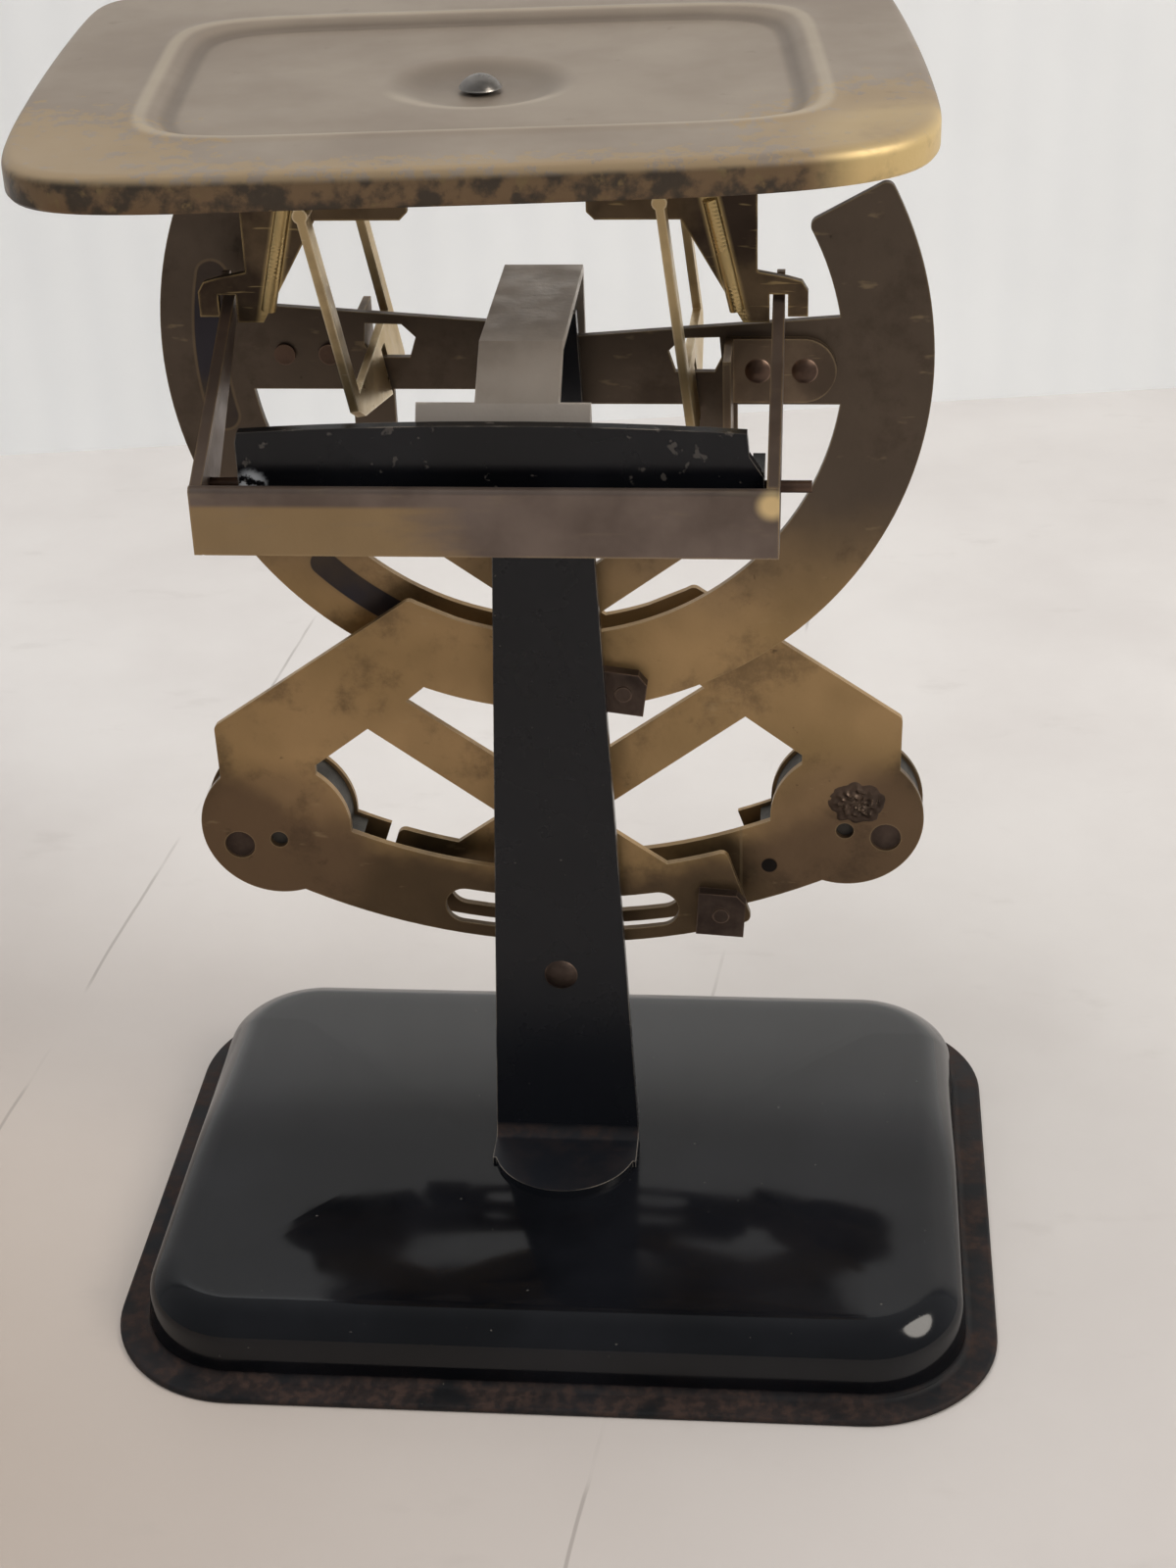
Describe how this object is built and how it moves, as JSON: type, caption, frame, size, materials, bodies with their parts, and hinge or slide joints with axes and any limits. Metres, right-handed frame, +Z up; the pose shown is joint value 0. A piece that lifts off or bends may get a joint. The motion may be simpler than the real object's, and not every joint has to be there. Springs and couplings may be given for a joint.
{
  "type": "postal scale",
  "caption": "Brass two-sector postal scale with a flat letter pan, weighted swinging sectors and a folding guide frame on a black steel column and base",
  "frame": {"origin": "on the table, in the middle of the whole scale's footprint with its pan; the base's middle is 2.15 mm from it towards -Y", "axes": "+Z up; +X right when seen from -Y; -Y the side with the column's back and the guide frame's bar"},
  "size_m": [0.0996, 0.0799, 0.135],
  "materials": {
    "enamel": "glossy black enamel, worn and dusty",
    "dark_steel": "dark tarnished steel",
    "grey_steel": "worn grey steel",
    "copper": "dull reddish copper tone",
    "brass": "aged brass, rubbed bright on edges",
    "sector_brass": "dark olive brown patina",
    "pan_brass": "speckled grey brown patina",
    "lead": "dull grey cast metal"
  },
  "bodies": {
    "stand": {"base_shell": "enamel", "column": "enamel", "index_rivet": "dark_steel", "lower_index": "dark_steel", "bridge": "grey_steel", "crosspiece": "enamel", "guide_pin": "copper", "fulcrum_pin": "dark_steel", "fulcrum_nut": "dark_steel"},
    "near_sector": {"near_plate": "sector_brass", "near_bush": "brass", "near_weight": "lead", "near_cover": "sector_brass", "near_rivet": "dark_steel", "near_bracket": "sector_brass", "near_bracket_rivets": "copper", "near_nuts": "dark_steel", "near_bolts": "dark_steel"},
    "far_sector": {"far_plate": "sector_brass", "far_bush": "brass", "far_weight": "lead", "far_cover": "sector_brass", "far_rivet": "dark_steel", "far_bracket": "sector_brass", "far_bracket_rivets": "copper", "far_nuts": "dark_steel", "far_bolts": "dark_steel"},
    "guide": {"guide_frame": "brass"},
    "load": {"yoke": "brass", "pan": "pan_brass", "pan_rivet": "grey_steel"},
    "left_link": {"left_hanger": "brass"},
    "right_link": {"right_hanger": "brass"}
  },
  "joints": [
    {"name": "near_swing", "type": "hinge", "parent": "stand", "child": "near_sector", "pos_m": [0, 0.00045, 0.1056], "axis": [0, 1, 0], "range_deg": [0, 32]},
    {"name": "far_swing", "type": "hinge", "parent": "stand", "child": "far_sector", "pos_m": [0, 0.00445, 0.1056], "axis": [0, 1, 0], "range_deg": [-32, 0]},
    {"name": "load_slide", "type": "slide", "parent": "stand", "child": "load", "axis": [0, 0, -1], "range_m": [0, 0.0088]},
    {"name": "guide_fold", "type": "hinge", "parent": "stand", "child": "guide", "pos_m": [0, -0.01865, 0.1004], "axis": [-1, 0, 0], "range_deg": [0, 27]},
    {"name": "left_link_swing", "type": "hinge", "parent": "load", "child": "left_link", "pos_m": [-0.0209, 0.00245, 0.125], "axis": [0, 1, 0], "range_deg": [-9, 0]},
    {"name": "right_link_swing", "type": "hinge", "parent": "load", "child": "right_link", "pos_m": [0.0131, 0.00245, 0.125], "axis": [0, 1, 0], "range_deg": [0, 8]}
  ],
  "couplings": [
    {"joint": "far_swing", "follows": "near_swing", "ratio": -1},
    {"joint": "load_slide", "follows": "near_swing", "m_per_rad": 0.0154},
    {"joint": "guide_fold", "follows": "near_swing", "ratio": 0.8094},
    {"joint": "left_link_swing", "follows": "near_swing", "ratio": -0.2406},
    {"joint": "right_link_swing", "follows": "near_swing", "ratio": 0.2125}
  ]
}
